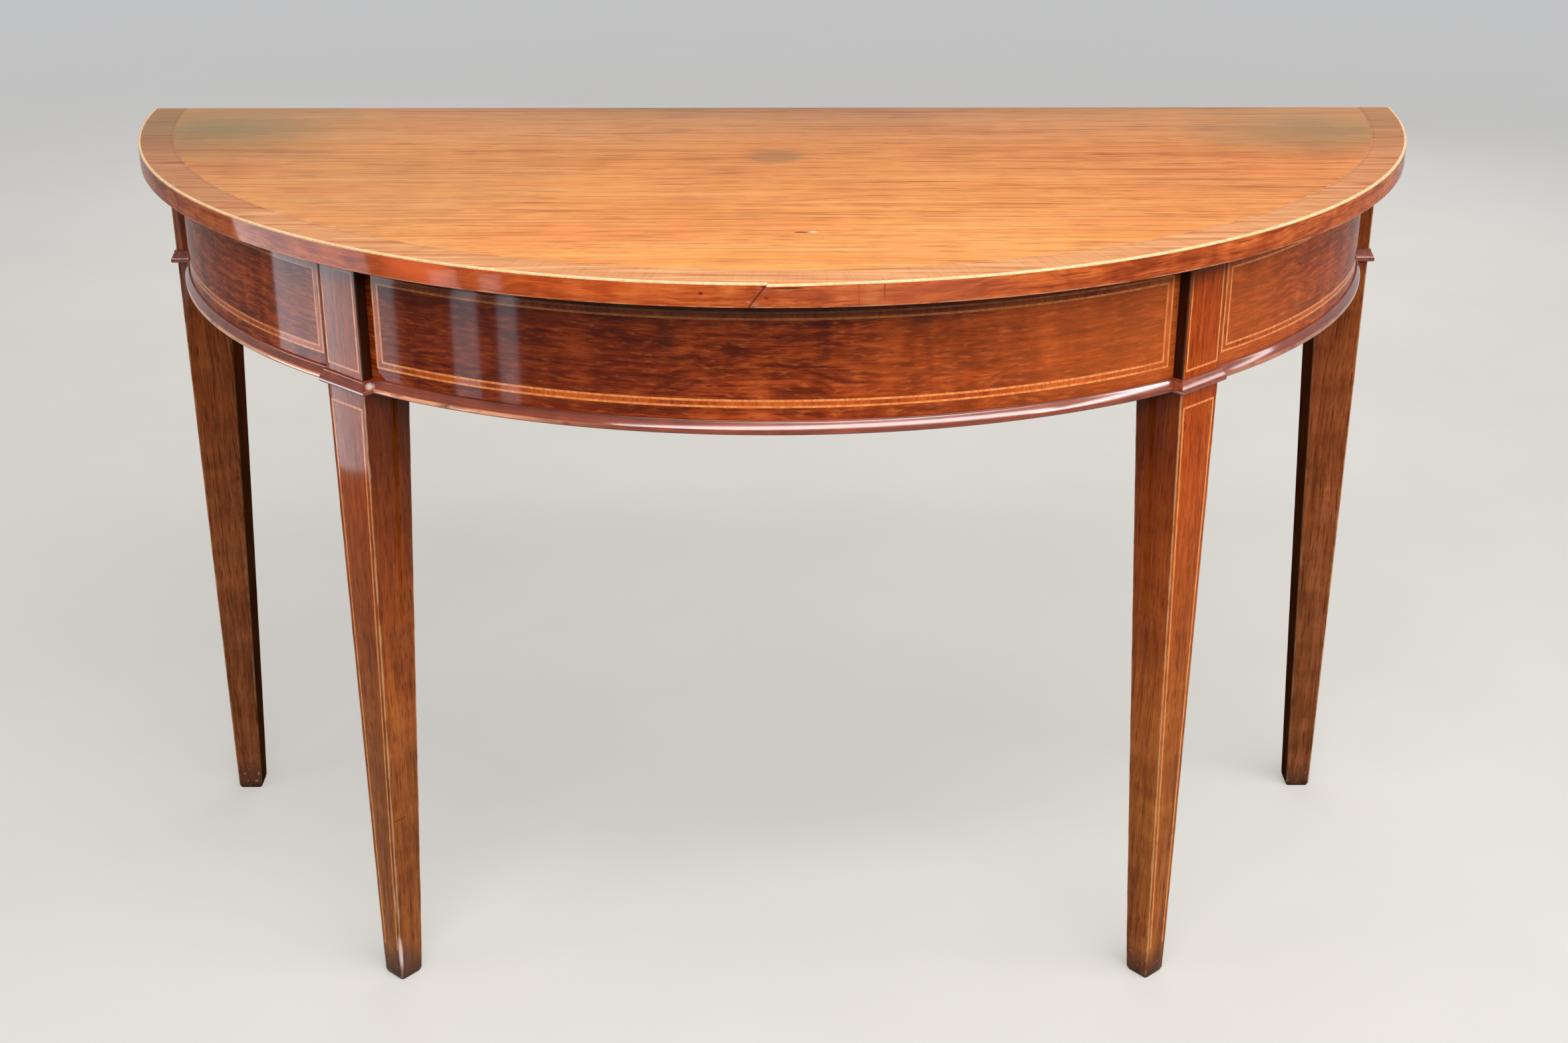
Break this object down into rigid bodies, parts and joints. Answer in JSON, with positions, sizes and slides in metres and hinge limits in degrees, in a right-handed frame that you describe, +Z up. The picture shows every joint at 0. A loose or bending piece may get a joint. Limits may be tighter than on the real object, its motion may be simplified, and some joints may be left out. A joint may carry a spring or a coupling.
{
  "type": "demilune table",
  "caption": "Half-round mahogany side table with inlaid curved frieze, proud leg blocks, bead moulding and square tapered legs, to stand against a wall.",
  "frame": {"origin": "on the floor, under the middle of the top's bounding box", "axes": "+X along the wall to the viewer's right, +Y to the wall, +Z up; the curved front faces -Y"},
  "size_m": [1.218, 0.551, 0.742],
  "materials": {
    "mahogany_field": "french polished straight-grained mahogany",
    "mahogany_crossband": "french polished cross-grained mahogany",
    "mahogany_edge": "french polished reddish mahogany",
    "boxwood": "pale polished boxwood",
    "mahogany_frieze": "french polished figured red-brown mahogany",
    "red_band": "polished reddish cross-grained band",
    "mahogany_leg": "polished solid mahogany, darker at the feet",
    "mahogany_bead": "polished mahogany moulding",
    "softwood": "bare aged softwood",
    "iron": "dull iron"
  },
  "bodies": {
    "root": {"top_board_back": "softwood", "top_board_middle": "softwood", "top_board_front": "softwood", "top_field_veneer": "mahogany_field", "top_crossbanding": "mahogany_crossband", "top_edge_veneer_left": "mahogany_edge", "top_edge_line_left": "boxwood", "top_edge_veneer_right": "mahogany_edge", "top_edge_line_right": "boxwood", "frieze_rail_left": "softwood", "frieze_veneer_left": "mahogany_frieze", "frieze_band_left": "red_band", "frieze_lines_left": "boxwood", "bead_left": "mahogany_bead", "frieze_rail_centre": "softwood", "frieze_veneer_centre": "mahogany_frieze", "frieze_band_centre": "red_band", "frieze_lines_centre": "boxwood", "bead_centre": "mahogany_bead", "frieze_rail_right": "softwood", "frieze_veneer_right": "mahogany_frieze", "frieze_band_right": "red_band", "frieze_lines_right": "boxwood", "bead_right": "mahogany_bead", "leg_front_left": "mahogany_leg", "stringing_front_left": "boxwood", "bead_front_left_block": "mahogany_bead", "leg_front_right": "mahogany_leg", "stringing_front_right": "boxwood", "bead_front_right_block": "mahogany_bead", "leg_back_left": "mahogany_leg", "stringing_back_left": "boxwood", "bead_back_left_block": "mahogany_bead", "leg_back_right": "mahogany_leg", "stringing_back_right": "boxwood", "bead_back_right_block": "mahogany_bead", "back_rail": "softwood", "middle_brace": "softwood", "glue_blocks_frieze": "softwood", "glue_blocks_back": "softwood", "top_screws": "iron"}
  },
  "joints": []
}
